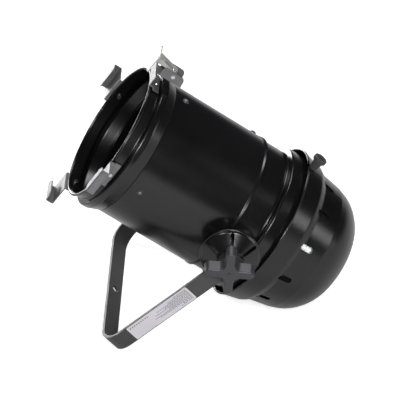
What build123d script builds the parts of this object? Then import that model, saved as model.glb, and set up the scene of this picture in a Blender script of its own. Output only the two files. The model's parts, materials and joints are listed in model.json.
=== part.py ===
"""A stage lighting can: a spun-metal barrel for a sealed 203 mm lamp, carried in a flat-bar yoke.

The lamp head rests on the floor on its yoke's crossbar and on its rear dome, with the beam aimed
up and forward.  World axes: +Z up, the tilt axis along Y, the beam towards -X.  The origin is on the
floor under the middle of the whole object.  Left is the -Y side, as seen from behind the lamp.
"""
import os
from math import atan, cos, degrees, radians, sin, sqrt

from build123d import *

# --- Driving dimensions (mm, degrees) ---------------------------------------------------------
BARREL_R = 98.0  # outside radius of the barrel tube
SHEET = 1.5  # spun sheet of the barrel, collar, band and cap
FIT = 0.1  # radial clearance between telescoped sheet parts

NOSE_SHOULDER_Z = 42.0  # where the nose ring meets the tube
BARREL_END_Z = 190.0  # rear edge of the tube
COLLAR_LIP_Z = 225.8  # front face of the collar's flange
PIVOT_Z = 202.0  # tilt axis, behind the front lip
CAP_LIP_Z = 246.9  # front edge of the rear cap
CAP_END_Z = 371.0  # flat end of the rear cap

LIP_R = 99.6  # rolled front lip
NECK_R = 96.4
BEAD_R = 103.8
BAND_R = 104.9  # lamp band, and the flange in front of it
CAP_LIP_R = 113.6
VENT_R = 100.0  # vented part of the cap, at its front
CREASE_R = 94.5  # the same, where the dome starts

BEAM_TILT = 37.0  # beam above the horizontal
YOKE_DROP = 40.05  # yoke arms below the horizontal, set so that the dome touches the floor too

ARM_GAP = 136.0  # tilt plane to the inner face of an arm
BAR_WIDTH = 25.0
BAR_THICK = 4.0
ARM_LENGTH = 219.0  # pivot to the middle of the crossbar's thickness
ARM_OVERRUN = 16.0  # arm beyond the pivot
YOKE_BEND_R = 30.0  # inside radius of the yoke's bends
CLAMP_HOLE_R = 5.5  # hook clamp hole in the crossbar

GEL_FRAME = 254.0  # side of the square colour frame
GEL_CLEAR = 3.5  # from the frame's edge to the clip's wall
CLIP_WIDTH = 39.0
CLIP_SHEET = 1.5

PIVOT_BOLT_R = 4.0
RUNNING = 0.05  # radial clearance of turning fits
DISH_R = 40.3
DISH_RIM_Y = 117.5  # tilt plane to the rim of the pivot dish
KNOB_R = 33.5
KNOB_HEIGHT = 22.5
KNOB_TURN = 30.3  # lobes from the beam's axis

LAMP_R = 101.5
TAIL_GAP = 0.2  # between a rivet's tail and the curved sheet

CENTRE_SHIFT_X = 41.86  # pivot from the middle of the object's length

# --- Frames -----------------------------------------------------------------------------------
tilt = radians(BEAM_TILT)
drop = radians(YOKE_DROP)
rearward = Vector(cos(tilt), 0, -sin(tilt))
topward = Vector(sin(tilt), 0, cos(tilt))
armward = Vector(-cos(drop), 0, -sin(drop))

pivot_height = (ARM_LENGTH + BAR_THICK / 2) * sin(drop) + BAR_WIDTH / 2 * cos(drop)
pivot = Vector(CENTRE_SHIFT_X, 0, pivot_height)

# barrel: z runs rearward from the front lip, x to the top of the barrel, y to its left side
barrel = Plane(origin=pivot - rearward * PIVOT_Z, x_dir=topward, z_dir=rearward)
barrel_axis = Axis(barrel.origin, rearward)
# section: x is a radius, y the distance behind the front lip
section = Plane(origin=barrel.origin, x_dir=topward, z_dir=Vector(0, 1, 0))
# side planes lie across the tilt axis; x runs forward along the beam, y to the top
left_side = Plane(origin=pivot, x_dir=rearward, z_dir=Vector(0, -1, 0))
right_side = Plane(origin=pivot, x_dir=rearward, z_dir=Vector(0, 1, 0))
sides = {"left": left_side, "right": right_side}


def outward(angle):
    """The direction out of the barrel at this angle from its top, towards its left side."""
    return topward * cos(radians(angle)) + barrel.y_dir * sin(radians(angle))


def radial_plane(angle, radius, z):
    """A plane that faces out of the barrel at this angle, radius and distance."""
    out = outward(angle)
    return Plane(origin=barrel.offset(z).origin + out * radius, x_dir=rearward, z_dir=out)


def sheet_section(points, radii, thickness=SHEET):
    """The cut face of a bent sheet; the points (radius, z) lie on its outer skin, front to rear."""
    with BuildSketch(section) as cut:
        with BuildLine():
            FilletPolyline(*points, radius=radii)
            offset(amount=thickness, side=Side.LEFT)
        make_face()
    return cut.sketch


def bead_section(radius, z, wire_r):
    """The round cut face of a rolled edge."""
    with BuildSketch(section) as cut:
        with Locations((radius, z)):
            Circle(wire_r)
    return cut.sketch


def disc(plane, radius, inner=0.0):
    """A round or ring-shaped face on a plane."""
    with BuildSketch(plane) as face:
        Circle(radius)
        if inner:
            Circle(inner, mode=Mode.SUBTRACT)
    return face.sketch


def pierce(plane, radius, depth):
    """Bore a hole of this depth inward from the plane, and a little outward too."""
    extrude(disc(plane.offset(1), radius), amount=-depth - 1, mode=Mode.SUBTRACT)


def rivet(plane, shank_r, head_r, head, grip):
    """A blind rivet whose head sits on the plane and whose tail closes behind the grip."""
    tail = shank_r
    extrude(disc(plane, head_r), amount=head, taper=32)
    extrude(disc(plane.offset(-grip - TAIL_GAP - tail), shank_r), amount=grip + TAIL_GAP + tail)
    extrude(disc(plane.offset(-grip - TAIL_GAP - tail), shank_r * 1.35), amount=tail)


def finish(part, label):
    """Name a finished piece and write its file."""
    part.label = label
    export_step(part, f"parts/{label}.step")


os.makedirs("parts", exist_ok=True)

# --- Barrel -----------------------------------------------------------------------------------
SLEEVE = 28.0  # overlap of telescoped sheets
LIP_WIRE_R = 2.0
NECK_END_Z = 16.5
BEAD_MID_Z = 23.5
inner_r = BARREL_R - SHEET
sleeve_r = inner_r - FIT  # outside of a sheet telescoped into the barrel

with BuildPart() as nose_ring:
    revolve(
        sheet_section(
            [
                (NECK_R, LIP_WIRE_R * 1.5),
                (NECK_R, NECK_END_Z),
                (BEAD_R, NECK_END_Z + 1.5),
                (BEAD_R, BEAD_MID_Z + 3),
                (BARREL_R + 1.2, NOSE_SHOULDER_Z - 3),
                (BARREL_R + 0.2, NOSE_SHOULDER_Z - 0.6),
                (sleeve_r, NOSE_SHOULDER_Z - 0.3),
                (sleeve_r, NOSE_SHOULDER_Z + SLEEVE),
            ],
            [1.8, 2.6, 6.0, 2.0, 0.7, 0.4],
        ),
        axis=barrel_axis,
    )
    revolve(bead_section(LIP_R - LIP_WIRE_R, LIP_WIRE_R, LIP_WIRE_R), axis=barrel_axis)

# rivets through the overlap, and one through each clip's tab
RIVET_R = 2.4
RIVET_HEAD_R = 4.6
RIVET_HEAD = 1.9
NOSE_RIVET_Z = 57.0
TAB_RIVET_R = 2.0
TAB_RIVET_Z = 10.3
HOLE_PLAY = 0.05
quarter_turns = [0, 90, 180, 270]
nose_rivet_planes = [radial_plane(angle, BARREL_R, NOSE_RIVET_Z) for angle in quarter_turns]
tab_skin_r = NECK_R + FIT + CLIP_SHEET
tab_rivet_planes = [radial_plane(angle, tab_skin_r, TAB_RIVET_Z) for angle in quarter_turns]

with nose_ring:
    for plane in nose_rivet_planes:
        pierce(plane, RIVET_R + HOLE_PLAY, SHEET * 2 + FIT + 1)
    for plane in tab_rivet_planes:
        pierce(plane, TAB_RIVET_R + HOLE_PLAY, CLIP_SHEET + SHEET + FIT + 1)
finish(nose_ring.part, "nose_ring")

END_HEM = 1.3  # how far the tube's rear edge is rolled out
with BuildPart() as barrel_tube:
    revolve(
        sheet_section(
            [
                (BARREL_R, NOSE_SHOULDER_Z),
                (BARREL_R, BARREL_END_Z - 4),
                (BARREL_R + END_HEM, BARREL_END_Z - 1.5),
                (BARREL_R + END_HEM, BARREL_END_Z),
            ],
            [1.8, 1.6],
        ),
        axis=barrel_axis,
    )
    for plane in nose_rivet_planes:
        pierce(plane, RIVET_R + HOLE_PLAY, SHEET + 0.5)
finish(barrel_tube.part, "barrel_tube")

with BuildPart() as nose_rivets:
    for plane in nose_rivet_planes:
        rivet(plane, RIVET_R, RIVET_HEAD_R, RIVET_HEAD, SHEET * 2 + FIT)
finish(nose_rivets.part, "nose_rivets")

# --- Collar and lamp band ---------------------------------------------------------------------
with BuildPart() as rear_collar:
    revolve(
        sheet_section(
            [
                (sleeve_r, BARREL_END_Z - SLEEVE + 10),
                (sleeve_r, COLLAR_LIP_Z),
                (BAND_R, COLLAR_LIP_Z),
            ],
            [2.0],
        ),
        axis=barrel_axis,
    )
    for side in sides.values():
        pierce(side.offset(sleeve_r), PIVOT_BOLT_R + HOLE_PLAY, SHEET + 3)
finish(rear_collar.part, "rear_collar")

CAP_SKIRT = [(CAP_LIP_R - 1.2, CAP_LIP_Z + 2), (106.6, 276.0)]  # straight taper of the cap's skirt
skirt_slope = (CAP_SKIRT[1][0] - CAP_SKIRT[0][0]) / (CAP_SKIRT[1][1] - CAP_SKIRT[0][1])
SEAT_GAP = 0.3  # between the band's rear edge and the skirt
skirt_inner_drop = SHEET * sqrt(1 + skirt_slope**2)
band_end_z = CAP_SKIRT[0][1] + (BAND_R + SEAT_GAP + skirt_inner_drop - CAP_SKIRT[0][0]) / skirt_slope
THUMB_Z = 254.5
THUMB_R = 3.0
thumb_plane = radial_plane(0, BAND_R, THUMB_Z)

band_front_z = COLLAR_LIP_Z + SHEET
with BuildPart() as lamp_band:
    revolve(
        sheet_section(
            [
                (sleeve_r, band_front_z),
                (BAND_R, band_front_z),
                (BAND_R, band_end_z),
            ],
            [2.0],
        ),
        axis=barrel_axis,
    )
    pierce(thumb_plane, THUMB_R + HOLE_PLAY, SHEET + 1)
finish(lamp_band.part, "lamp_band")

# --- Lamp: a sealed beam lamp, its retaining ring and its socket -------------------------------
LAMP_RIM_Z = band_front_z + SHEET + 0.2
LENS_THICK = 4.5
LENS_BULGE = 9.0
RIM_DEPTH = 9.0  # lens rim and reflector rim together
lens_edge_r = LAMP_R - 6
reflector_z = LAMP_RIM_Z + LENS_THICK
lamp_back_z = 319.0
BOSS_R = 23.0
BOSS_DEPTH = 12.0
GLASS = 4.0
BOWL_MID_R = 72.0  # outside of the reflector, halfway back



def dish_arc(rim_r, rim_z, rise):
    """The point where a ball-shaped skin, risen this far above its rim, is halfway up (radius, z)."""
    ball_r = (rim_r**2 + rise**2) / (2 * rise)
    mid_r = rim_r / 2
    return (mid_r, rim_z - rise + ball_r - sqrt(ball_r**2 - mid_r**2))


with BuildPart() as lamp_lens:
    with BuildSketch(section):
        with BuildLine():
            front_mid = dish_arc(lens_edge_r, LAMP_RIM_Z, LENS_BULGE)
            back_mid = dish_arc(lens_edge_r, reflector_z, LENS_BULGE)
            ThreePointArc((0, LAMP_RIM_Z - LENS_BULGE), front_mid, (lens_edge_r, LAMP_RIM_Z))
            Line((lens_edge_r, LAMP_RIM_Z), (LAMP_R, LAMP_RIM_Z))
            Line((LAMP_R, LAMP_RIM_Z), (LAMP_R, reflector_z))
            Line((LAMP_R, reflector_z), (lens_edge_r, reflector_z))
            ThreePointArc((lens_edge_r, reflector_z), back_mid, (0, reflector_z - LENS_BULGE))
            Line((0, reflector_z - LENS_BULGE), (0, LAMP_RIM_Z - LENS_BULGE))
        make_face()
    revolve(axis=barrel_axis)
finish(lamp_lens.part, "lamp_lens")

rim_back_z = LAMP_RIM_Z + RIM_DEPTH
bowl_mid_z = rim_back_z + (lamp_back_z - rim_back_z) * 0.5
with BuildPart() as lamp_reflector:
    with BuildSketch(section):
        with BuildLine():
            Line((LAMP_R, reflector_z), (LAMP_R, rim_back_z))
            Line((LAMP_R, rim_back_z), (lens_edge_r + 2, rim_back_z))
            ThreePointArc((lens_edge_r + 2, rim_back_z), (BOWL_MID_R, bowl_mid_z), (BOSS_R, lamp_back_z))
            Line((BOSS_R, lamp_back_z), (BOSS_R, lamp_back_z + BOSS_DEPTH))
            Line((BOSS_R, lamp_back_z + BOSS_DEPTH), (0, lamp_back_z + BOSS_DEPTH))
            Line((0, lamp_back_z + BOSS_DEPTH), (0, lamp_back_z - GLASS))
            Line((0, lamp_back_z - GLASS), (BOSS_R - 3, lamp_back_z - GLASS))
            ThreePointArc(
                (BOSS_R - 3, lamp_back_z - GLASS),
                (BOWL_MID_R - GLASS, bowl_mid_z - GLASS / 2),
                (lens_edge_r - 1, reflector_z),
            )
            Line((lens_edge_r - 1, reflector_z), (LAMP_R, reflector_z))
        make_face()
    revolve(axis=barrel_axis)
finish(lamp_reflector.part, "lamp_reflector")

BURNER_R = 7.0
BURNER_LENGTH = 38.0
POST_R = 1.2
POST_SPAN = 5.0
burner_plane = barrel.offset(lamp_back_z - GLASS)
with BuildPart() as lamp_burner:
    extrude(disc(burner_plane.offset(-14), BURNER_R), amount=-BURNER_LENGTH)
    fillet(lamp_burner.edges().filter_by(GeomType.CIRCLE), BURNER_R * 0.6)
    with BuildSketch(burner_plane):
        with Locations((POST_SPAN, 0), (-POST_SPAN, 0)):
            Circle(POST_R)
    extrude(amount=-20)
finish(lamp_burner.part, "lamp_burner")

base_z = lamp_back_z + BOSS_DEPTH
BASE_R = 21.0
BASE_DEPTH = 8.0
PRONG_GAP = 8.0  # lamp axis to the middle of a prong
PRONG = (2.0, 12.0)  # thickness, width
PRONG_LENGTH = 13.0
with BuildPart() as lamp_base:
    extrude(disc(barrel.offset(base_z), BASE_R), amount=BASE_DEPTH)
    chamfer(lamp_base.edges().group_by(SortBy.LENGTH)[-1], 1.0)
finish(lamp_base.part, "lamp_base")

prong_spots = Locations((0, PRONG_GAP), (0, -PRONG_GAP))
with BuildPart() as lamp_prongs:
    with BuildSketch(barrel.offset(base_z + BASE_DEPTH)):
        with prong_spots:
            Rectangle(PRONG[1], PRONG[0])
    extrude(amount=PRONG_LENGTH)
finish(lamp_prongs.part, "lamp_prongs")

RING_WIRE_R = 1.6
RING_GAP_ANGLE = 24
with BuildPart() as lamp_ring:
    ring_r = BAND_R - SHEET - RING_WIRE_R - 0.1
    revolve(
        bead_section(ring_r, rim_back_z + RING_WIRE_R, RING_WIRE_R),
        axis=barrel_axis,
        revolution_arc=360 - RING_GAP_ANGLE,
    )
finish(lamp_ring.part, "lamp_retaining_ring")

SOCKET_R = 22.0
SOCKET_DEPTH = 21.0
PRONG_PLAY = 0.3
socket_z = base_z + BASE_DEPTH + 0.6
with BuildPart() as lamp_socket:
    extrude(disc(barrel.offset(socket_z), SOCKET_R), amount=SOCKET_DEPTH)
    chamfer(lamp_socket.edges().filter_by(GeomType.CIRCLE), 1.5)
    with BuildSketch(barrel.offset(socket_z)):
        with prong_spots:
            Rectangle(PRONG[1] + 2 * PRONG_PLAY, PRONG[0] + 2 * PRONG_PLAY)
    extrude(amount=PRONG_LENGTH + 1, mode=Mode.SUBTRACT)
finish(lamp_socket.part, "lamp_socket")

# --- Rear cap ---------------------------------------------------------------------------------
STEP_Z = 283.5  # foot of the skirt
CAP_WIRE_R = 1.5
CREASE_Z = CAP_END_Z - 53.5  # vented section meets the dome
CAP_FLAT_R = 42.0
DOME = [  # corners of the dome's outline, rounded off
    (CREASE_R - 7, CREASE_Z + 22.5),
    (CAP_FLAT_R + 24, CAP_END_Z - 8.5),
]
DOME_ROUND = 60.0
FLAT_ROUND = 20.0
VENT_Z = 291.0
VENT = (19.5, 8.4)  # along the barrel, across
VENT_CORNER_R = 3.2
VENT_COUNT = 12
vent_plane_r = VENT_R + 6
GROMMET_T = 23.0  # cable hole, above the axis
GROMMET_R = 8.0
EARTH_T = -12.0
EARTH_R = 2.0
FOOT_T = -28.0  # rivet of the terminal bracket


def end_plane(height):
    """The flat end of the cap, centred this far above the axis."""
    return Plane(origin=barrel.from_local_coords((height, 0, CAP_END_Z)), x_dir=topward, z_dir=rearward)


grommet_plane = end_plane(GROMMET_T)
earth_plane = end_plane(EARTH_T)
foot_plane = end_plane(FOOT_T)
with BuildPart() as rear_cap:
    revolve(
        sheet_section(
            [
                CAP_SKIRT[0],
                CAP_SKIRT[1],
                (VENT_R + 2.2, STEP_Z),
                (VENT_R, STEP_Z + 1.5),
                (CREASE_R, CREASE_Z),
                *DOME,
                (CAP_FLAT_R, CAP_END_Z),
                (0, CAP_END_Z),
            ],
            [12.0, 3.0, 2.5, 12.0, DOME_ROUND, DOME_ROUND, FLAT_ROUND],
        ),
        axis=barrel_axis,
    )
    revolve(bead_section(CAP_LIP_R - CAP_WIRE_R, CAP_LIP_Z + CAP_WIRE_R, CAP_WIRE_R), axis=barrel_axis)
    for step in range(VENT_COUNT):
        with BuildSketch(radial_plane(step * 360 / VENT_COUNT, vent_plane_r, VENT_Z)):
            RectangleRounded(*VENT, VENT_CORNER_R)
        extrude(amount=-14, mode=Mode.SUBTRACT)
    # open slot that lets the cap slide off past the thumb screw
    slot_half = THUMB_R + 0.7
    slot_reach = THUMB_Z - CAP_LIP_Z + slot_half
    with BuildSketch(radial_plane(0, CAP_LIP_R + 2, CAP_LIP_Z)):
        SlotOverall(2 * slot_reach, 2 * slot_half)
    extrude(amount=-12, mode=Mode.SUBTRACT)
    pierce(grommet_plane, GROMMET_R, SHEET + 1)
    pierce(earth_plane, EARTH_R + HOLE_PLAY, SHEET + 1)
    pierce(foot_plane, TAB_RIVET_R + HOLE_PLAY, SHEET + 1)
finish(rear_cap.part, "rear_cap")

cap_inside_z = CAP_END_Z - SHEET
BAFFLE_SHEET = 1.0
BAFFLE_FRONT = (VENT_R - 18, STEP_Z - 3.5)  # radius and distance of its front edge
BAFFLE_BACK_R = CREASE_R - 7
baffle_end_z = CREASE_Z - 1
with BuildPart() as vent_baffle:
    revolve(
        sheet_section(
            [
                BAFFLE_FRONT,
                (BAFFLE_BACK_R, baffle_end_z),
                (CREASE_R - SHEET - 0.2, baffle_end_z),
            ],
            [2.0],
            BAFFLE_SHEET,
        ),
        axis=barrel_axis,
    )
finish(vent_baffle.part, "vent_baffle")

THUMB_NECK = (5.0, 7.6)  # radius of the flared neck at the cap and under the rim
THUMB_NECK_Z = (7.0, 21.5)  # the same places, above the band
THUMB_RIM_R = 9.6
THUMB_RIM = 4.5
THUMB_CROWN = 1.2
KNURLS = 28
NUT_THICK = 5.0
NUT_FLATS = 10.0
nut_seat = thumb_plane.offset(-SHEET - TAIL_GAP)
with BuildPart() as thumb_screw:
    stem_depth = SHEET + NUT_THICK + 2
    extrude(disc(thumb_plane.offset(-stem_depth), THUMB_R), amount=stem_depth + THUMB_NECK_Z[0])
    neck_rise = THUMB_NECK_Z[1] - THUMB_NECK_Z[0]
    flare = degrees(atan((THUMB_NECK[1] - THUMB_NECK[0]) / neck_rise))
    extrude(disc(thumb_plane.offset(THUMB_NECK_Z[0]), THUMB_NECK[0]), amount=neck_rise, taper=-flare)
    with BuildSketch(thumb_plane.offset(THUMB_NECK_Z[1])):
        Circle(THUMB_RIM_R)
        with PolarLocations(THUMB_RIM_R + 0.35, KNURLS):
            Circle(0.7, mode=Mode.SUBTRACT)
    extrude(amount=THUMB_RIM)
    crown = disc(thumb_plane.offset(THUMB_NECK_Z[1] + THUMB_RIM), THUMB_RIM_R - THUMB_CROWN)
    extrude(crown, amount=THUMB_CROWN, taper=45)
finish(thumb_screw.part, "thumb_screw")

with BuildPart() as thumb_nut:
    with BuildSketch(nut_seat):
        RegularPolygon(NUT_FLATS / 2, 6, major_radius=False)
        Circle(THUMB_R + RUNNING, mode=Mode.SUBTRACT)
    extrude(amount=-NUT_THICK)
finish(thumb_nut.part, "thumb_nut")

# --- Fittings inside the cap ------------------------------------------------------------------
GROMMET_BORE_R = 4.5
GROMMET_LIP = 2.5
with BuildPart() as cable_grommet:
    inner_lip = grommet_plane.offset(-SHEET - GROMMET_LIP)
    extrude(disc(inner_lip, GROMMET_R - HOLE_PLAY, GROMMET_BORE_R), amount=SHEET + 2 * GROMMET_LIP)
    extrude(disc(inner_lip, GROMMET_R + GROMMET_LIP, GROMMET_BORE_R), amount=GROMMET_LIP)
    extrude(disc(grommet_plane, GROMMET_R + GROMMET_LIP, GROMMET_BORE_R), amount=GROMMET_LIP)
    fillet(cable_grommet.edges().filter_by(GeomType.CIRCLE).group_by(SortBy.RADIUS)[-1], 0.8)
finish(cable_grommet.part, "cable_grommet")

BRACKET_SHEET = 1.2
BRACKET_WIDTH = 10.0
BLOCK = (18.0, 36.0, 16.0)  # along the radius, across, along the barrel
BLOCK_Z = 348.0
LEAD_SINK = 8.0  # how far a lead goes into its terminal
LEAD_SPREAD = 11.0  # axis to each outer terminal
BLOCK_T = -37.2  # face of the block on its bracket
with BuildPart() as terminal_bracket:
    with BuildSketch(section):
        with BuildLine():
            FilletPolyline(
                (FOOT_T + 6, cap_inside_z),
                (BLOCK_T + BRACKET_SHEET, cap_inside_z),
                (BLOCK_T + BRACKET_SHEET, BLOCK_Z - BLOCK[2] / 2),
                radius=[2.0],
            )
            offset(amount=BRACKET_SHEET, side=Side.LEFT)
        make_face()
    extrude(amount=BRACKET_WIDTH / 2, both=True)
    pierce(foot_plane, TAB_RIVET_R + HOLE_PLAY, SHEET + BRACKET_SHEET + 2)
finish(terminal_bracket.part, "terminal_bracket")

with BuildPart() as bracket_rivet:
    rivet(foot_plane, TAB_RIVET_R, 3.6, 1.4, SHEET + BRACKET_SHEET)
finish(bracket_rivet.part, "bracket_rivet")

with BuildPart() as terminal_block:
    with BuildSketch(barrel.offset(BLOCK_Z - BLOCK[2] / 2)):
        with Locations((BLOCK_T - BLOCK[0] / 2, 0)):
            RectangleRounded(BLOCK[0], BLOCK[1], 1.5)
    extrude(amount=BLOCK[2])
    terminal_spots = [(BLOCK_T - BLOCK[0] * 0.45, spot) for spot in (-LEAD_SPREAD, 0, LEAD_SPREAD)]
    with BuildSketch(barrel.offset(BLOCK_Z + BLOCK[2] / 2)):
        with Locations(*terminal_spots):
            Circle(2.2)
    extrude(amount=-LEAD_SINK - 1, mode=Mode.SUBTRACT)
finish(terminal_block.part, "terminal_block")

LEAD_R = 1.5
lead_run_z = CAP_END_Z - 6.5
socket_back_z = socket_z + SOCKET_DEPTH
for label, spot in [("live_lead", LEAD_SPREAD), ("neutral_lead", -LEAD_SPREAD)]:
    with BuildPart() as lead:
        with BuildLine():
            FilletPolyline(
                barrel.from_local_coords((0, spot, socket_back_z)),
                barrel.from_local_coords((0, spot, lead_run_z)),
                barrel.from_local_coords((terminal_spots[0][0], spot, lead_run_z)),
                barrel.from_local_coords((terminal_spots[0][0], spot, BLOCK_Z + BLOCK[2] / 2 - LEAD_SINK)),
                radius=[3.0, 6.0],
            )
        with BuildSketch(barrel.offset(socket_back_z)):
            with Locations((0, spot)):
                Circle(LEAD_R)
        sweep()
    finish(lead.part, label)

EARTH_HEAD = 2.2
EARTH_STEM = 6.0  # beyond the cap's sheet
with BuildPart() as earth_screw:
    extrude(disc(earth_plane, 2 * EARTH_R), amount=EARTH_HEAD)
    extrude(disc(earth_plane.offset(-SHEET - EARTH_STEM), EARTH_R), amount=SHEET + EARTH_STEM)
    with BuildSketch(earth_plane.offset(EARTH_HEAD)):
        Rectangle(2.5 * EARTH_R, EARTH_R / 2)
        Rectangle(EARTH_R / 2, 2.5 * EARTH_R)
    extrude(amount=-EARTH_HEAD / 2, mode=Mode.SUBTRACT)
finish(earth_screw.part, "earth_screw")

with BuildPart() as earth_nut:
    with BuildSketch(earth_plane.offset(-SHEET)):
        RegularPolygon(3.5, 6, major_radius=False)
        Circle(EARTH_R + HOLE_PLAY, mode=Mode.SUBTRACT)
    extrude(amount=-3.2)
finish(earth_nut.part, "earth_nut")

# --- Colour frame clips -----------------------------------------------------------------------
WEB_Z = -0.9  # rear face of a clip's web
CLIP_MOUTH_Z = -12.7  # front face of the clip's lip
CLIP_LIP = 12.0
mouth_inner_z = CLIP_MOUTH_Z + CLIP_SHEET
TAB_END_Z = 14.5
RISER_Z = LIP_WIRE_R * 2 + 2.1
run_skin_r = LIP_R + 0.4 + CLIP_SHEET
wall_skin_r = GEL_FRAME / 2 + GEL_CLEAR + CLIP_SHEET
clip_foot = [(tab_skin_r, TAB_END_Z), (tab_skin_r, RISER_Z), (run_skin_r, RISER_Z), (run_skin_r, WEB_Z)]
foot_radii = [0.8, 2.0, 0.8]


def strap(angle, points, radii):
    """A bent strap, drawn in the section plane turned by this angle and as wide as a clip."""
    out = outward(angle)
    with BuildSketch(Plane(origin=barrel.origin, x_dir=out, z_dir=out.cross(rearward))) as cut:
        with BuildLine():
            FilletPolyline(*points, radius=radii)
            offset(amount=CLIP_SHEET, side=Side.RIGHT)
        make_face()
    return cut.sketch


for index, label in [(1, "gel_clip_left"), (2, "gel_clip_bottom"), (3, "gel_clip_right")]:
    angle = quarter_turns[index]
    with BuildPart() as gel_clip:
        clip_path = clip_foot + [
            (wall_skin_r, WEB_Z),
            (wall_skin_r, CLIP_MOUTH_Z),
            (wall_skin_r - CLIP_LIP, CLIP_MOUTH_Z),
        ]
        extrude(strap(angle, clip_path, foot_radii + [2.0, 2.0]), amount=CLIP_WIDTH / 2, both=True)
        long_edges = gel_clip.edges().filter_by(barrel_axis)
        mouth_edges = long_edges.filter_by(
            lambda edge: barrel.to_local_coords(edge.center()).Z < mouth_inner_z
        )
        fillet(mouth_edges.group_by(Axis(barrel.origin, outward(angle)))[0], CLIP_LIP * 0.7)
        pierce(tab_rivet_planes[index], TAB_RIVET_R + HOLE_PLAY, CLIP_SHEET + 0.5)
    finish(gel_clip.part, label)

with BuildPart() as clip_rivets:
    for plane in tab_rivet_planes:
        rivet(plane, TAB_RIVET_R, 3.6, 1.4, CLIP_SHEET + SHEET + FIT)
finish(clip_rivets.part, "clip_rivets")

# --- Sprung latch that closes the top clip ----------------------------------------------------
EAR_GAP = 18.0  # between the bracket's ears
EAR_HEIGHT = 14.5
SHELF_T = 116.0  # underside of the bracket's shelf
SHELF_END_Z = 36.0
EAR_FRONT_Z = 1.5
PIN_Z = 19.0
PIN_T = 124.5
PIN_R = 1.5
ARM_SHEET = 1.5
latch_side = Plane(origin=barrel.origin, x_dir=topward, z_dir=Vector(0, 1, 0))  # x up, y rearward

with BuildPart() as latch_bracket:
    bracket_path = clip_foot + [(SHELF_T, WEB_Z), (SHELF_T, SHELF_END_Z)]
    extrude(strap(0, bracket_path, foot_radii + [1.0]), amount=CLIP_WIDTH / 2, both=True)
    # the shelf behind the web is narrower than the web
    shelf_half = EAR_GAP / 2 + CLIP_SHEET
    for side_sign in (1, -1):
        with BuildSketch(barrel.offset(WEB_Z)):
            with Locations((SHELF_T + 5, side_sign * (shelf_half + 10))):
                Rectangle(20, 20)
        extrude(amount=SHELF_END_Z + 10, mode=Mode.SUBTRACT)
    ear_base_t = SHELF_T + CLIP_SHEET * 0.5
    for side_sign in (1, -1):
        ear_plane = latch_side.offset(side_sign * (EAR_GAP / 2 + CLIP_SHEET / 2))
        with BuildSketch(ear_plane) as ear:
            with BuildLine():
                Polyline(
                    (ear_base_t, EAR_FRONT_Z + 1),
                    (SHELF_T + EAR_HEIGHT, EAR_FRONT_Z),
                    (SHELF_T + EAR_HEIGHT, SHELF_END_Z - 2),
                    (ear_base_t, SHELF_END_Z),
                    close=True,
                )
            make_face()
            fillet(ear.vertices().sort_by(Axis.X)[-2:], 6.5)
            with Locations((PIN_T, PIN_Z)):
                Circle(PIN_R + RUNNING, mode=Mode.SUBTRACT)
        extrude(amount=CLIP_SHEET / 2, both=True)
    pierce(tab_rivet_planes[0], TAB_RIVET_R + HOLE_PLAY, CLIP_SHEET + 0.5)
finish(latch_bracket.part, "latch_bracket")

pin_axis_point = barrel.from_local_coords((PIN_T, 0, PIN_Z))
pin_plane = Plane(origin=pin_axis_point, x_dir=rearward, z_dir=Vector(0, 1, 0))
PIN_HEAD = 1.4
pin_half = EAR_GAP / 2 + CLIP_SHEET
with BuildPart() as latch_pin:
    extrude(disc(pin_plane, PIN_R), amount=pin_half, both=True)
    for side_sign in (1, -1):
        extrude(disc(pin_plane.offset(side_sign * pin_half), PIN_R + 1.2), amount=side_sign * PIN_HEAD)
finish(latch_pin.part, "latch_pin")

LATCH_ARM_GAP = 13.4  # between the latch's arms
LATCH_FACE_Z = CLIP_MOUTH_Z - 0.3  # rear face of the latch's plate
LATCH_FACE = (30.0, 33.0)  # width, height
LATCH_FACE_T = 113.0  # lower edge of the plate
ARM_END_R = 5.4
ARM_LOW_T = 129.0
with BuildPart() as latch_plate:
    face_plane = barrel.offset(LATCH_FACE_Z)
    with BuildSketch(face_plane) as face:
        with Locations((LATCH_FACE_T + LATCH_FACE[1] / 2, 0)):
            Rectangle(LATCH_FACE[1], LATCH_FACE[0])
        fillet(face.vertices().group_by(Axis.X)[-1], 9.0)
        fillet(face.vertices().group_by(Axis.X)[0], 2.0)
    extrude(amount=-ARM_SHEET)
    for side_sign in (1, -1):
        arm_plane = latch_side.offset(side_sign * (LATCH_ARM_GAP / 2 + ARM_SHEET / 2))
        with BuildSketch(arm_plane):
            with BuildLine():
                Polyline(
                    (PIN_T - ARM_END_R, PIN_Z),
                    (PIN_T, PIN_Z + ARM_END_R),
                    (PIN_T + ARM_END_R, PIN_Z),
                    (ARM_LOW_T + 9, LATCH_FACE_Z),
                    (ARM_LOW_T, LATCH_FACE_Z),
                    (ARM_LOW_T, WEB_Z + 3),
                    close=True,
                )
            make_face()
            with Locations((PIN_T, PIN_Z)):
                Circle(ARM_END_R)
                Circle(PIN_R + RUNNING, mode=Mode.SUBTRACT)
        extrude(amount=ARM_SHEET / 2, both=True)
finish(latch_plate.part, "latch_plate")

SPRING_WIRE_R = 0.6
SPRING_R = 2.7
SPRING_LENGTH = 9.0
SPRING_TURNS = 5
spring_pitch = SPRING_LENGTH / SPRING_TURNS
with BuildPart() as latch_spring:
    with BuildLine():
        coil = Helix(
            pitch=spring_pitch,
            height=SPRING_LENGTH,
            radius=SPRING_R,
            center=pin_plane.offset(-SPRING_LENGTH / 2).origin,
            direction=pin_plane.z_dir,
        )
    with BuildSketch(Plane(origin=coil @ 0, z_dir=coil % 0)):
        Circle(SPRING_WIRE_R)
    sweep(path=coil, is_frenet=True)
finish(latch_spring.part, "latch_spring")

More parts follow.
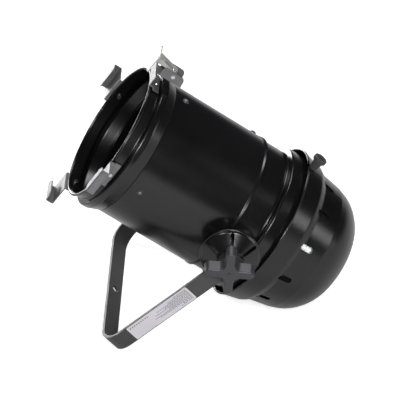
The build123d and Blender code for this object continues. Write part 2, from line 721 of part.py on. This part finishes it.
# --- Pivots -----------------------------------------------------------------------------------
SPACER_R = 9.0
SPACER_BORE_R = PIVOT_BOLT_R + HOLE_PLAY
SEAT_GAP = 0.1  # between the spacer and the curved sleeve
WASHER_THICK = 2.0
CLAMP_WASHER = 1.5
WASHER_R = 16.0
WASHER_STEP = 3.0  # the clamp washer is this much smaller in radius
HEAD_FLATS = 13.0
HEAD_THICK = 5.3
DISH_SLOTS = 6
DISH_FLAT_R = 15.0  # corner between the dish's flat middle and its cone
DISH_SLOT = (19.0, 5.4)
KNOB_BORE_DEPTH = 14.0
INSERT_FLATS = 13.0
LOBES = 4
LOBE_TIP_R = 7.4
LOBE_ROOT_R = 7.0  # hollow between two lobes
LOBE_BASE = 3.0  # knob's foot to the underside of its lobes
LOBE_TAPER = 5
KNOB_EDGE_R = 2.4
BUTTON_R = 2.6
BUTTON_HEIGHT = 1.4
BUTTON_TAPER = 35
HUB_R = 13.5
apex_y = ARM_GAP - WASHER_THICK
knob_y = ARM_GAP + BAR_THICK + CLAMP_WASHER
head_y = sleeve_r - SHEET - TAIL_GAP - 0.1
lobe_reach = KNOB_R - LOBE_TIP_R

for label, side in sides.items():
    turn_axis = Axis(side.origin, side.z_dir)
    profile_plane = Plane(origin=side.origin, x_dir=side.x_dir, z_dir=-side.y_dir)

    with BuildPart() as pivot_dish:
        with BuildSketch(profile_plane) as cut:
            with BuildLine():
                FilletPolyline(
                    (SPACER_BORE_R, apex_y),
                    (DISH_FLAT_R, apex_y),
                    (DISH_R - 3, DISH_RIM_Y + 3.5),
                    (DISH_R, DISH_RIM_Y),
                    radius=[18.0, 4.0],
                )
                offset(amount=SHEET, side=Side.RIGHT)
            make_face()
            with Locations((DISH_R - 1.2, DISH_RIM_Y)):
                Circle(1.5)
        revolve(axis=turn_axis)
        with BuildSketch(side.offset(DISH_RIM_Y - 4)):
            with PolarLocations(DISH_R * 0.7, DISH_SLOTS):
                SlotOverall(DISH_SLOT[0], DISH_SLOT[1])
        extrude(amount=30, mode=Mode.SUBTRACT)
    finish(pivot_dish.part, f"pivot_dish_{label}")

    with BuildPart() as pivot_spacer:
        extrude(
            disc(side.offset(sleeve_r + SEAT_GAP), SPACER_R, SPACER_BORE_R),
            amount=apex_y - SHEET - sleeve_r - SEAT_GAP,
        )
    finish(pivot_spacer.part, f"pivot_spacer_{label}")

    with BuildPart() as pivot_bolt:
        extrude(disc(side.offset(head_y), PIVOT_BOLT_R), amount=knob_y + KNOB_BORE_DEPTH - 1.5 - head_y)
        with BuildSketch(side.offset(head_y)):
            RegularPolygon(HEAD_FLATS / 2, 6, major_radius=False)
        extrude(amount=-HEAD_THICK)
    finish(pivot_bolt.part, f"pivot_bolt_{label}")

    with BuildPart() as friction_washer:
        extrude(disc(side.offset(apex_y), WASHER_R, PIVOT_BOLT_R + RUNNING), amount=WASHER_THICK)
    finish(friction_washer.part, f"friction_washer_{label}")

    with BuildPart() as clamp_washer:
        extrude(
            disc(side.offset(ARM_GAP + BAR_THICK), WASHER_R - WASHER_STEP, PIVOT_BOLT_R + RUNNING),
            amount=CLAMP_WASHER,
        )
    finish(clamp_washer.part, f"clamp_washer_{label}")

    with BuildPart() as knob_insert:
        with BuildSketch(side.offset(knob_y)):
            RegularPolygon(INSERT_FLATS / 2, 6, major_radius=False)
            Circle(PIVOT_BOLT_R + RUNNING, mode=Mode.SUBTRACT)
        extrude(amount=KNOB_BORE_DEPTH - 2)
    finish(knob_insert.part, f"knob_insert_{label}")

    with BuildPart() as star_knob:
        extrude(disc(side.offset(knob_y), HUB_R), amount=LOBE_BASE)
        with BuildSketch(side.offset(knob_y + LOBE_BASE)) as star:
            Circle(HUB_R)
            with PolarLocations(0, LOBES, start_angle=KNOB_TURN):
                SlotCenterToCenter(2 * lobe_reach, 2 * LOBE_TIP_R)
            roots = star.vertices().filter_by(lambda corner: corner.center().length < HUB_R + 0.5)
            fillet(roots, LOBE_ROOT_R)
        extrude(amount=KNOB_HEIGHT - LOBE_BASE - BUTTON_HEIGHT, taper=LOBE_TAPER)
        top_edges = star_knob.edges().group_by(turn_axis)[-1]
        fillet(top_edges, KNOB_EDGE_R)
        extrude(
            disc(side.offset(knob_y + KNOB_HEIGHT - BUTTON_HEIGHT), BUTTON_R),
            amount=BUTTON_HEIGHT,
            taper=BUTTON_TAPER,
        )
        with BuildSketch(side.offset(knob_y)):
            RegularPolygon(INSERT_FLATS / 2 + HOLE_PLAY, 6, major_radius=False)
        extrude(amount=KNOB_BORE_DEPTH - 2, mode=Mode.SUBTRACT)
        extrude(disc(side.offset(knob_y), PIVOT_BOLT_R + 0.5), amount=KNOB_BORE_DEPTH, mode=Mode.SUBTRACT)
    finish(star_knob.part, f"star_knob_{label}")

# --- Yoke -------------------------------------------------------------------------------------
yoke_plane = Plane(origin=pivot, x_dir=Vector(0, 1, 0), z_dir=Vector(0, 1, 0).cross(armward))
outer_y = ARM_GAP + BAR_THICK
outer_a = ARM_LENGTH + BAR_THICK / 2
with BuildPart() as yoke:
    with BuildSketch(yoke_plane):
        with BuildLine():
            FilletPolyline(
                (-outer_y, -ARM_OVERRUN),
                (-outer_y, outer_a),
                (outer_y, outer_a),
                (outer_y, -ARM_OVERRUN),
                radius=YOKE_BEND_R + BAR_THICK,
            )
            offset(amount=BAR_THICK, side=Side.RIGHT)
        make_face()
    extrude(amount=BAR_WIDTH / 2, both=True)
    arm_ends = yoke.edges().filter_by(Axis.Y).group_by(Axis(pivot, armward))[0]
    fillet(arm_ends, 5.0)
    for side in sides.values():
        pierce(side.offset(outer_y), PIVOT_BOLT_R + RUNNING, BAR_THICK + 1)
    crossbar_plane = Plane(origin=pivot + armward * outer_a, x_dir=Vector(0, 1, 0), z_dir=armward)
    pierce(crossbar_plane, CLAMP_HOLE_R, BAR_THICK + 1)
finish(yoke.part, "yoke")

LABEL = (107.0, 23.0, 0.3)
LABEL_MIDDLE = 122.0
label_plane = Plane(
    origin=pivot + armward * LABEL_MIDDLE + Vector(0, -outer_y, 0),
    x_dir=armward,
    z_dir=Vector(0, -1, 0),
)
with BuildPart() as rating_label:
    with BuildSketch(label_plane):
        RectangleRounded(LABEL[0], LABEL[1], 1.5)
    extrude(amount=LABEL[2])
finish(rating_label.part, "rating_label")
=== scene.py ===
"""Looks of the stage lighting can: materials, small fittings, floor, light and camera."""
import json
from math import asin, cos, pi, radians, sin

import bmesh
import bpy
from mathutils import Matrix, Vector


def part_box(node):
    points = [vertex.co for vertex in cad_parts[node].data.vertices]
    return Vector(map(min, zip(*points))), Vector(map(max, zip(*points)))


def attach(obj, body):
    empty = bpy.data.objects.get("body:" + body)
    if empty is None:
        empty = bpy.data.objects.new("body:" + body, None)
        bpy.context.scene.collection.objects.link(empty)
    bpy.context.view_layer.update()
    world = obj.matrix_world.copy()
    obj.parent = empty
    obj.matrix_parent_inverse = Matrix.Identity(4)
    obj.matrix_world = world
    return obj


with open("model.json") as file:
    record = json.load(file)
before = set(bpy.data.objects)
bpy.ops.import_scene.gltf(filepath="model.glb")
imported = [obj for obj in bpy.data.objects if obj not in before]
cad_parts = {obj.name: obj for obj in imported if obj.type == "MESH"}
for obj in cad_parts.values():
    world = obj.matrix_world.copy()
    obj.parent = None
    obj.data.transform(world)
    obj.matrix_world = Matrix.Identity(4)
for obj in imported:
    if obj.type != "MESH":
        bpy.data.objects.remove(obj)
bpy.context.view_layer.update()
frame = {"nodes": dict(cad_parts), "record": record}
nodes = frame["nodes"]


# --- Places taken from the frame ---------------------------------------------------------------
def joint(name):
    """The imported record's joint of this name."""
    return next(j for j in frame["record"]["behaviour"]["joints"] if j["name"] == name)


def mount(name):
    """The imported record's mount of this name."""
    return next(m for m in frame["record"]["mounts"] if m["name"] == name)


pivot = Vector(joint("head_tilt")["pos_m"])
rearward = Vector(joint("cap_slide")["axis"])  # along the barrel, away from the beam
nearward = Vector((0, -1, 0))  # the barrel's left side, towards the camera
armward = Vector(mount("clamp_hole")["axis"])  # from the pivot to the crossbar


# --- Camera ------------------------------------------------------------------------------------
CAMERA_AZIMUTH = radians(3.0)
CAMERA_HEIGHT = radians(34.4)
CAMERA_ROLL = radians(-2.26)
CAMERA_DISTANCE = 3.389
CAMERA_TARGET = Vector((0.0117, -0.0052, 0.1465))
CAMERA_LENS = 214.3

ahead = Vector((
    -sin(CAMERA_AZIMUTH) * cos(CAMERA_HEIGHT),
    cos(CAMERA_AZIMUTH) * cos(CAMERA_HEIGHT),
    -sin(CAMERA_HEIGHT),
))
level_right = Vector((cos(CAMERA_AZIMUTH), sin(CAMERA_AZIMUTH), 0))
level_down = ahead.cross(level_right)
right = level_right * cos(CAMERA_ROLL) - level_down * sin(CAMERA_ROLL)
down = level_right * sin(CAMERA_ROLL) + level_down * cos(CAMERA_ROLL)

camera = bpy.data.objects.new("camera", bpy.data.cameras.new("camera"))
camera.data.lens = CAMERA_LENS
camera.data.sensor_width = 36
camera.data.clip_end = 50
camera.matrix_world = Matrix.Translation(CAMERA_TARGET - ahead * CAMERA_DISTANCE) @ Matrix(
    (right, -down, -ahead)
).transposed().to_4x4()
bpy.context.collection.objects.link(camera)
bpy.context.scene.camera = camera


# --- Node helpers ------------------------------------------------------------------------------
class Shader:
    """A material whose nodes are made and joined one call at a time."""

    def __init__(self, name, **sockets):
        self.material = bpy.data.materials.new(name)
        self.material.use_nodes = True
        self.tree = self.material.node_tree
        self.tree.nodes.clear()
        self.output = self.tree.nodes.new("ShaderNodeOutputMaterial")
        self.bsdf = self.add("ShaderNodeBsdfPrincipled", **sockets)
        self.link(self.bsdf, "BSDF", self.output, "Surface")
        self.coords = self.add("ShaderNodeTexCoord")

    def add(self, kind, **sockets):
        node = self.tree.nodes.new(kind)
        for key, value in sockets.items():
            node.inputs[key.replace("_", " ")].default_value = value
        return node

    def link(self, source, out, target, into):
        self.tree.links.new(source.outputs[out], target.inputs[into])

    def turned(self, rotation, scale):
        """Object coordinates, turned and stretched."""
        mapping = self.add("ShaderNodeMapping")
        mapping.inputs["Rotation"].default_value = rotation
        mapping.inputs["Scale"].default_value = scale
        self.link(self.coords, "Object", mapping, "Vector")
        return mapping

    def noise(self, scale, detail, mapping=None):
        node = self.add("ShaderNodeTexNoise", Scale=scale, Detail=detail)
        if mapping:
            self.link(mapping, "Vector", node, "Vector")
        else:
            self.link(self.coords, "Object", node, "Vector")
        return node

    def range(self, source, out, low, high, start, end):
        """A factor spread from start..end to low..high."""
        node = self.add("ShaderNodeMapRange")
        for key, value in (("From Min", start), ("From Max", end), ("To Min", low), ("To Max", high)):
            node.inputs[key].default_value = value
        self.link(source, out, node, "Value")
        return node

    def colours(self, source, out, stops):
        """A colour ramp with (place, colour) stops."""
        node = self.add("ShaderNodeValToRGB")
        ramp = node.color_ramp
        while len(ramp.elements) < len(stops):
            ramp.elements.new(0.5)
        for element, (place, colour) in zip(ramp.elements, stops):
            element.position = place
            element.color = (*colour, 1)
        self.link(source, out, node, "Fac")
        return node

    def bump(self, source, out, distance, strength, after=None):
        """Raises the surface by a height, on top of the bump in after."""
        node = self.add("ShaderNodeBump", Strength=strength, Distance=distance)
        self.link(source, out, node, "Height")
        if after:
            self.link(after, "Normal", node, "Normal")
        self.link(node, "Normal", self.bsdf, "Normal")
        return node


def grey(level, tint=0.0):
    """A grey, a little blue when tint is positive."""
    return (level, level, level * (1 + tint))


# turns the object's axes so that the barrel's axis is X
barrel_turn = (0, asin(rearward.z), 0)


def enamel(name, level, low, high):
    """Stove enamel over spun sheet: fine orange peel, and faint rings left by spinning."""
    s = Shader(name, Metallic=0.0, IOR=1.5)
    cloud = s.noise(9.0, 4.0)
    tone = s.colours(cloud, "Fac", [(0.3, grey(level * 0.8)), (0.7, grey(level * 1.25, 0.06))])
    s.link(tone, "Color", s.bsdf, "Base Color")
    spin = s.turned(barrel_turn, (1, 0.02, 0.02))
    rings = s.noise(420.0, 2.0, spin)
    rough = s.range(cloud, "Fac", low, high, 0.25, 0.75)
    s.link(rough, "Result", s.bsdf, "Roughness")
    peel = s.noise(700.0, 2.0)
    first = s.bump(rings, "Fac", 0.00006, 0.35)
    s.bump(peel, "Fac", 0.00008, 0.35, first)
    return s.material


def powder_coat(name, level, low, high):
    """Powder coat on bar: a tight pebbled skin."""
    s = Shader(name, Metallic=0.0, IOR=1.5)
    cloud = s.noise(14.0, 4.0)
    tone = s.colours(cloud, "Fac", [(0.3, grey(level * 0.85)), (0.7, grey(level * 1.2, 0.04))])
    s.link(tone, "Color", s.bsdf, "Base Color")
    rough = s.range(cloud, "Fac", low, high, 0.25, 0.75)
    s.link(rough, "Result", s.bsdf, "Roughness")
    pebble = s.noise(1500.0, 2.0)
    s.bump(pebble, "Fac", 0.00012, 0.5)
    return s.material


def metal(name, colour, low, high, grain=(1, 1, 1), metallic=1.0):
    """Plated steel with rolling grain and small smears."""
    s = Shader(name, Metallic=metallic)
    smear = s.noise(60.0, 5.0)
    dark = tuple(c * 0.82 for c in colour)
    tone = s.colours(smear, "Fac", [(0.35, dark), (0.65, colour)])
    s.link(tone, "Color", s.bsdf, "Base Color")
    lines = s.noise(900.0, 2.0, s.turned((0, 0, 0), grain))
    rough = s.range(lines, "Fac", low, high, 0.3, 0.7)
    s.link(rough, "Result", s.bsdf, "Roughness")
    s.bump(lines, "Fac", 0.00004, 0.3)
    return s.material


def moulded(name, colour, rough_low, rough_high, grain_scale=2200.0, depth=0.00006):
    """Moulded plastic or rubber with a fine spark-eroded texture."""
    s = Shader(name, Metallic=0.0, IOR=1.5)
    cloud = s.noise(25.0, 3.0)
    tone = s.colours(cloud, "Fac", [(0.3, tuple(c * 0.88 for c in colour)), (0.7, colour)])
    s.link(tone, "Color", s.bsdf, "Base Color")
    rough = s.range(cloud, "Fac", rough_low, rough_high, 0.3, 0.7)
    s.link(rough, "Result", s.bsdf, "Roughness")
    grain = s.noise(grain_scale, 2.0)
    s.bump(grain, "Fac", depth, 0.5)
    return s.material


def glass(name, colour, rough):
    """Clear pressed glass with slight ripple."""
    s = Shader(name, Metallic=0.0, IOR=1.47, Roughness=rough)
    s.bsdf.inputs["Transmission Weight"].default_value = 1.0
    ripple = s.noise(60.0, 2.0)
    tone = s.colours(ripple, "Fac", [(0.2, tuple(c * 0.96 for c in colour)), (0.8, colour)])
    s.link(tone, "Color", s.bsdf, "Base Color")
    s.bump(ripple, "Fac", 0.0004, 0.4)
    return s.material


shell_black = enamel("shell_black", 0.0045, 0.19, 0.28)
frame_black = powder_coat("frame_black", 0.04, 0.36, 0.5)
clip_steel = metal("clip_steel", (0.2, 0.2, 0.205), 0.42, 0.54, metallic=0.6)
# the latch plate is the same plated steel as the clips; its lighter base colour is a painted reflection
# of the bright light its front-facing plate catches
latch_steel_painted_sheen = metal("latch_steel_painted_sheen", (0.5, 0.5, 0.48), 0.42, 0.54, metallic=0.6)
zinc = metal("zinc", (0.62, 0.63, 0.64), 0.22, 0.36)
nickel = metal("nickel", (0.7, 0.68, 0.62), 0.15, 0.25)
silvered = metal("silvered", (0.9, 0.9, 0.9), 0.03, 0.08)
knob_plastic = moulded("knob_plastic", (0.036, 0.036, 0.04), 0.34, 0.44)
rubber = moulded("rubber", (0.02, 0.02, 0.02), 0.6, 0.75)
ceramic = moulded("ceramic", (0.8, 0.78, 0.74), 0.5, 0.65, 900.0, 0.0001)
brown_wire = moulded("brown_wire", (0.16, 0.05, 0.02), 0.35, 0.45)
blue_wire = moulded("blue_wire", (0.02, 0.08, 0.35), 0.35, 0.45)
foil = moulded("foil", (0.62, 0.6, 0.64), 0.4, 0.5, 1200.0, 0.00002)
clear_glass = glass("clear_glass", (0.97, 0.98, 0.98), 0.04)
quartz = glass("quartz", (0.98, 0.98, 0.98), 0.0)

finish_of = {
    "black_shell": shell_black,
    "black_frame": frame_black,
    "clip_steel": clip_steel,
    "zinc_steel": zinc,
    "knob_plastic": knob_plastic,
    "rubber_black": rubber,
    "lamp_glass": clear_glass,
    "reflector_silver": silvered,
    "burner_quartz": quartz,
    "ceramic_white": ceramic,
    "contact_nickel": nickel,
    "lead_brown": brown_wire,
    "lead_blue": blue_wire,
    "label_foil": foil,
}
# the latch plate gets the clip steel with a painted reflection in its lighter base colour
own_finish = {"latch_plate": latch_steel_painted_sheen}

for part in frame["record"]["subparts"]:
    node = nodes[part["node"]]
    material = own_finish.get(part["node"], finish_of[part["material_slot"]])
    for slot in node.material_slots:
        slot.material = material


# --- Small fittings ----------------------------------------------------------------------------
def add_piece(name, mesh, material, body):
    """A mesh that rides on a body, with the finish it is given."""
    obj = bpy.data.objects.new(name, mesh)
    mesh.materials.append(material)
    bpy.context.collection.objects.link(obj)
    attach(obj, body)
    return obj


def bars(name, boxes, side, up, out, depth):
    """Thin raised bars, each given as (middle, length, height), lying in the plane of side and up."""
    bm = bmesh.new()
    for middle, length, height in boxes:
        turn = Matrix((side * length, up * height, out * depth)).transposed().to_4x4()
        bmesh.ops.create_cube(bm, size=1.0, matrix=Matrix.Translation(middle) @ turn)
    mesh = bpy.data.meshes.new(name)
    bm.to_mesh(mesh)
    bm.free()
    return mesh


# rows of short printed bars stand for the label's text
INK_DEPTH = 0.00006
LABEL_EDGE = 0.0022
ROW_HEIGHT = 0.00075
ROW_PITCH = 0.0019
# the share of the label's length that each row takes up
ROW_FILLS = (0.2, 0.34, 0.52, 0.42, 0.58, 0.36, 0.62, 0.55, 0.18)
WORD_SHORTEST = 0.002
WORD_SPREAD = 0.0022
WORD_SPACE = 0.0009
WORD_WAVE = 2900  # makes the words uneven along a row
ROW_WAVE = 1.7  # and from row to row
MARKS = 9  # square marks in a row at the far end
MARK_SIZE = 0.0017
MARK_PITCH = 0.0038
MARKS_FROM_EDGE = 0.0035
low, high = (Vector(c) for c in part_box("rating_label"))
span_x, span_z = high.x - low.x, high.z - low.z
lean_cos, lean_sin = abs(armward.x), abs(armward.z)
label_length = (span_x * lean_cos - span_z * lean_sin) / (lean_cos**2 - lean_sin**2)
label_width = (span_z - label_length * lean_sin) / lean_cos
label_up = Vector((-lean_sin, 0, lean_cos))
label_middle = Vector(((low.x + high.x) / 2, low.y, (low.z + high.z) / 2))
reading = -armward  # up the arm; the rows start at the pivot's end
ink_boxes = []
rows = int((label_width - 2 * LABEL_EDGE) / ROW_PITCH) + 1
for row in range(rows):
    across = (row - (rows - 1) / 2) * ROW_PITCH
    fill = ROW_FILLS[row % len(ROW_FILLS)]
    start = LABEL_EDGE
    while start < label_length * fill:
        word = WORD_SHORTEST + WORD_SPREAD * abs(sin(start * WORD_WAVE + row * ROW_WAVE))
        at = label_middle + reading * (label_length / 2 - start - word / 2) - label_up * across
        ink_boxes.append((at, word, ROW_HEIGHT))
        start += word + WORD_SPACE
for mark in range(MARKS):
    along = label_length / 2 - LABEL_EDGE * 2 - mark * MARK_PITCH
    at = label_middle - reading * along + label_up * (label_width / 2 - MARKS_FROM_EDGE)
    ink_boxes.append((at, MARK_SIZE, MARK_SIZE))
ink = moulded("label_ink", (0.06, 0.055, 0.075), 0.5, 0.6, 1500.0, 0.00001)
label_bars = bars("label_bars", ink_boxes, reading, label_up, nearward, INK_DEPTH)
add_piece("label_bars", label_bars, ink, "yoke_frame")


def islands(node):
    """The vertex places of each separate solid in a node."""
    bm = bmesh.new()
    bm.from_mesh(nodes[node].data)
    bmesh.ops.remove_doubles(bm, verts=bm.verts, dist=1e-6)
    left = set(bm.verts)
    found = []
    while left:
        group, edge = set(), [left.pop()]
        while edge:
            vert = edge.pop()
            group.add(vert)
            for link in vert.link_edges:
                other = link.other_vert(vert)
                if other in left:
                    left.remove(other)
                    edge.append(other)
        found.append([v.co.copy() for v in group])
    bm.free()
    return found


def rivet_rings(name, node, ring_r, wire_r):
    """The rolled ring around the mandrel of each blind rivet, on its side away from the barrel's axis."""
    bm = bmesh.new()
    for places in islands(node):
        middle = sum(places, Vector()) / len(places)
        out = middle - pivot
        out = (out - rearward * out.dot(rearward)).normalized()
        top = max(p.dot(out) for p in places)
        centre = middle + out * (top - middle.dot(out))
        turn = out.to_track_quat("Z", "Y").to_matrix().to_4x4()
        ring(bm, Matrix.Translation(centre) @ turn, ring_r, wire_r)
    mesh = bpy.data.meshes.new(name)
    bm.to_mesh(mesh)
    bm.free()
    for face in mesh.polygons:
        face.use_smooth = True
    return mesh


def ring(bm, place, ring_r, wire_r, around=24, section=8):
    """A torus in the XY plane of place."""
    loops = []
    for i in range(around):
        a = 2 * pi * i / around
        loop = []
        for j in range(section):
            b = 2 * pi * j / section
            r = ring_r + wire_r * cos(b)
            loop.append(bm.verts.new(place @ Vector((r * cos(a), r * sin(a), wire_r * sin(b)))))
        loops.append(loop)
    for i in range(around):
        for j in range(section):
            a, b = loops[i], loops[(i + 1) % around]
            k = (j + 1) % section
            bm.faces.new((a[j], b[j], b[k], a[k]))


RIVET_RING_R = 0.0013
RIVET_RING_WIRE_R = 0.0003
nose_rings = rivet_rings("nose_rivet_rings", "nose_rivets", RIVET_RING_R, RIVET_RING_WIRE_R)
add_piece("nose_rivet_rings", nose_rings, zinc, "lamp_head")


# --- Floor, backdrop and light -----------------------------------------------------------------
GLOW_NEAR = 0.5  # the floor glows more from here out
GLOW_FAR = 1.8


def backdrop_material(name, level, shown):
    """A white paint that the camera sees lit a little more, and fully far away, so it reads as white."""
    material = bpy.data.materials.new(name)
    material.use_nodes = True
    tree = material.node_tree
    tree.nodes.clear()
    output = tree.nodes.new("ShaderNodeOutputMaterial")
    diffuse = tree.nodes.new("ShaderNodeBsdfDiffuse")
    diffuse.inputs["Color"].default_value = (level, level, level, 1)
    glow = tree.nodes.new("ShaderNodeEmission")
    path = tree.nodes.new("ShaderNodeLightPath")
    seen = tree.nodes.new("ShaderNodeMath")
    seen.operation = "MAXIMUM"
    tree.links.new(path.outputs["Is Camera Ray"], seen.inputs[0])
    tree.links.new(path.outputs["Is Transmission Ray"], seen.inputs[1])
    strength = tree.nodes.new("ShaderNodeMath")
    strength.operation = "MULTIPLY"
    coords = tree.nodes.new("ShaderNodeTexCoord")
    reach = tree.nodes.new("ShaderNodeVectorMath")
    reach.operation = "LENGTH"
    spread = tree.nodes.new("ShaderNodeMapRange")
    limits = (("From Min", GLOW_NEAR), ("From Max", GLOW_FAR), ("To Min", shown), ("To Max", 1.0))
    for key, value in limits:
        spread.inputs[key].default_value = value
    tree.links.new(coords.outputs["Object"], reach.inputs[0])
    tree.links.new(reach.outputs["Value"], spread.inputs["Value"])
    tree.links.new(spread.outputs["Result"], strength.inputs[1])
    tree.links.new(seen.outputs[0], strength.inputs[0])
    tree.links.new(strength.outputs[0], glow.inputs["Strength"])
    both = tree.nodes.new("ShaderNodeAddShader")
    tree.links.new(diffuse.outputs[0], both.inputs[0])
    tree.links.new(glow.outputs[0], both.inputs[1])
    tree.links.new(both.outputs[0], output.inputs["Surface"])
    return material


FLOOR_REACH = 12.0
FLOOR_DROP = 0.0005  # keeps the floor clear of the faces that stand on it
FLOOR_WHITE = 0.8
FLOOR_GLOW = 0.72
WORLD_LIGHT = (0.035, 0.035, 0.042, 1)
WORLD_SHOWN = (1, 1, 1, 1)
floor_mesh = bpy.data.meshes.new("floor")
floor_corners = [(-1, -1), (1, -1), (1, 1), (-1, 1)]
floor_places = [(x * FLOOR_REACH, y * FLOOR_REACH, 0) for x, y in floor_corners]
floor_mesh.from_pydata(floor_places, [], [(0, 1, 2, 3)])
floor = bpy.data.objects.new("floor", floor_mesh)
floor.location.z = -FLOOR_DROP
floor_mesh.materials.append(backdrop_material("floor_white", FLOOR_WHITE, FLOOR_GLOW))
bpy.context.collection.objects.link(floor)

world = bpy.data.worlds.new("studio")
bpy.context.scene.world = world
world.use_nodes = True
tree = world.node_tree
tree.nodes.clear()
world_out = tree.nodes.new("ShaderNodeOutputWorld")
sky = tree.nodes.new("ShaderNodeBackground")
path = tree.nodes.new("ShaderNodeLightPath")
mix = tree.nodes.new("ShaderNodeMixRGB")
mix.inputs[1].default_value = WORLD_LIGHT
mix.inputs[2].default_value = WORLD_SHOWN
tree.links.new(path.outputs["Is Camera Ray"], mix.inputs[0])
tree.links.new(mix.outputs[0], sky.inputs["Color"])
tree.links.new(sky.outputs[0], world_out.inputs["Surface"])


def softbox(name, direction, distance, size, power):
    """A square area light that looks at the object from this direction."""
    light = bpy.data.lights.new(name, "AREA")
    light.shape = "RECTANGLE"
    light.size, light.size_y = size
    light.energy = power
    lamp = bpy.data.objects.new(name, light)
    away = Vector(direction).normalized()
    lamp.location = CAMERA_TARGET + away * distance
    lamp.rotation_euler = away.to_track_quat("Z", "Y").to_euler()
    bpy.context.collection.objects.link(lamp)
    return lamp


softbox("key", (0.2, -0.85, 0.6), 2.6, (0.7, 0.7), 42)
softbox("overhead", (0.1, 0.55, 1.0), 2.6, (1.8, 0.9), 34)
softbox("backdrop_glow", (-0.6, 0.9, -0.08), 1.3, (1.5, 0.25), 16)
softbox("nose_spot", (-0.31, -0.64, 0.69), 2.4, (0.35, 0.35), 16)
softbox("low_side", (1.0, -0.35, 0.25), 2.6, (0.6, 1.2), 8)

bpy.context.scene.view_settings.view_transform = "Standard"
